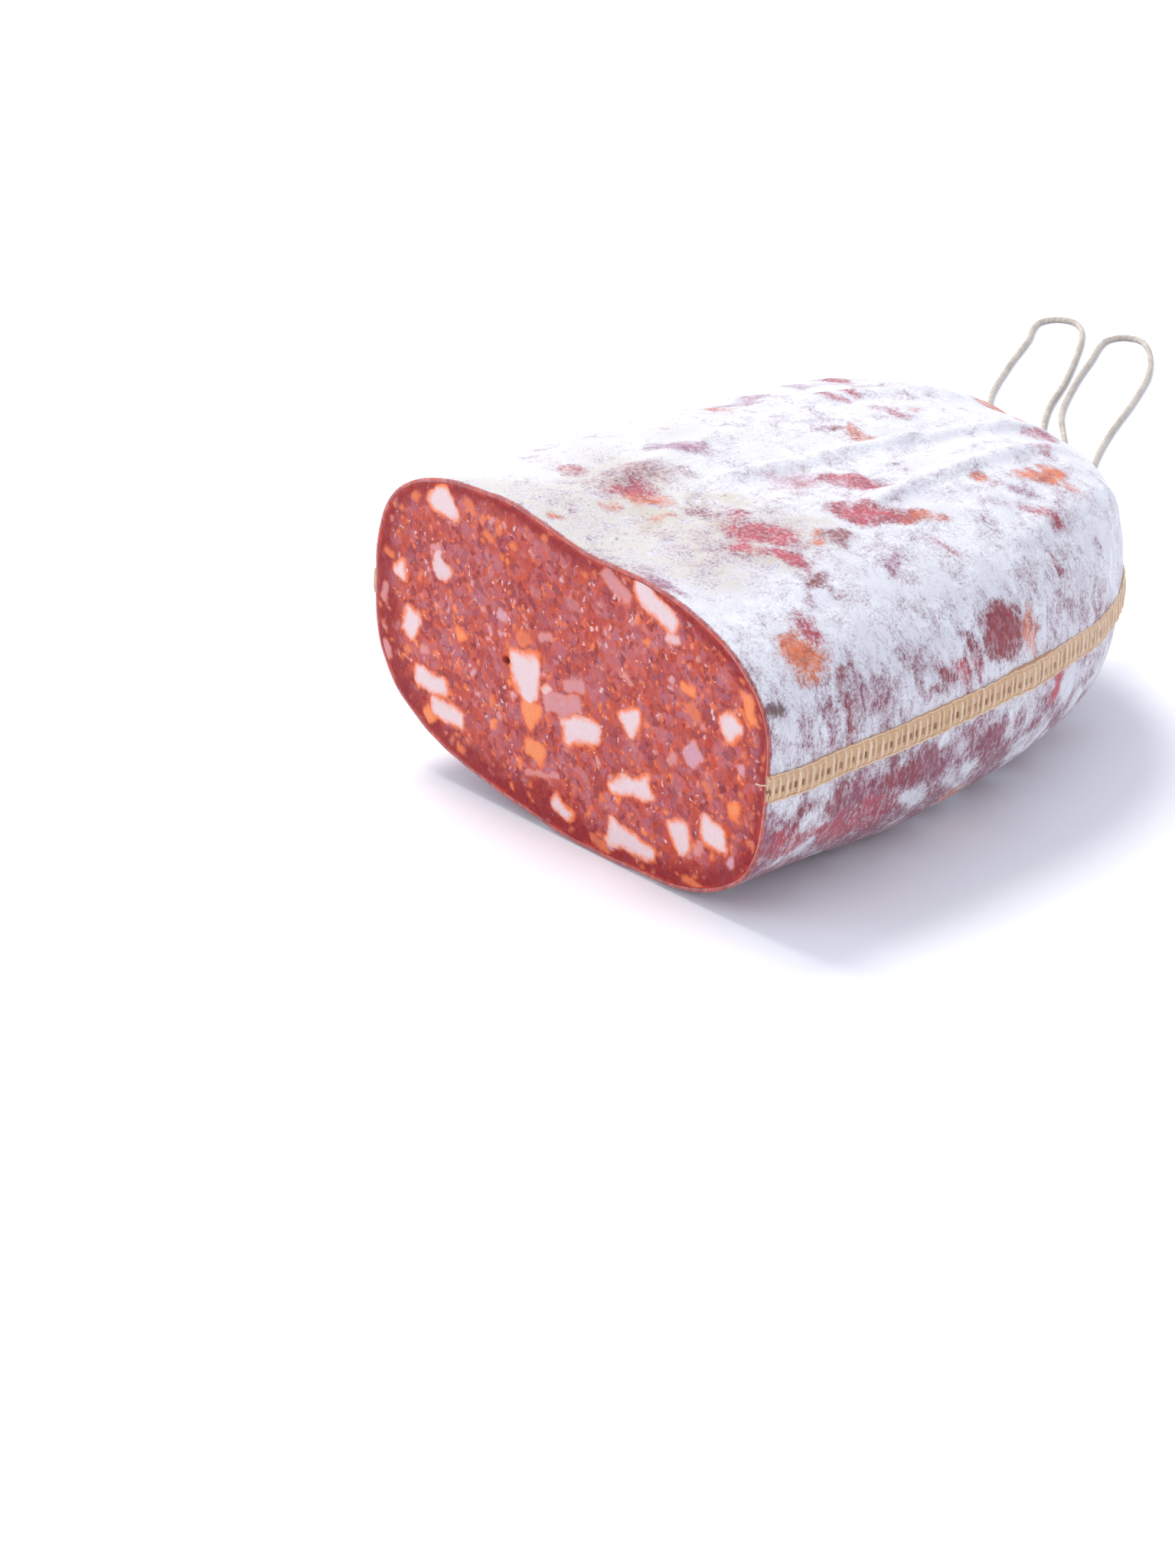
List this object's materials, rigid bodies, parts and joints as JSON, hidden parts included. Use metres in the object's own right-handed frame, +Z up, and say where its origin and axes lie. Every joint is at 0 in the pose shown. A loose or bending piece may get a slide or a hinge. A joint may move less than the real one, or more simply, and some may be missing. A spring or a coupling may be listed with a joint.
{
  "type": "cured sausage",
  "caption": "Flat-pressed cured sausage in a sewn natural casing, cut across to show marbled meat, with twine hanging loops at its closed end.",
  "frame": {"origin": "on the surface below the middle of the body's box, the hanging loops and their knots left out", "axes": "+Y along the length from the cut face to the sewn closed end, +X to the right across the width seen from the cut face, +Z up"},
  "size_m": [0.2302, 0.3044, 0.07],
  "materials": {
    "meat": "moist cut meat, brick red with orange paprika and white fat cubes",
    "casing": "dry natural casing with white mould bloom over burgundy and orange patches",
    "tape": "tan binding strip with crosswise ladder stitches",
    "thread": "pale sewing thread",
    "twine": "matte undyed twine"
  },
  "bodies": {
    "root": {"filling": "meat", "casing": "casing", "seam_tape": "tape", "seam_thread": "thread", "knot_left": "twine", "knot_right": "twine", "loop_left": "twine", "loop_right": "twine"}
  },
  "joints": []
}
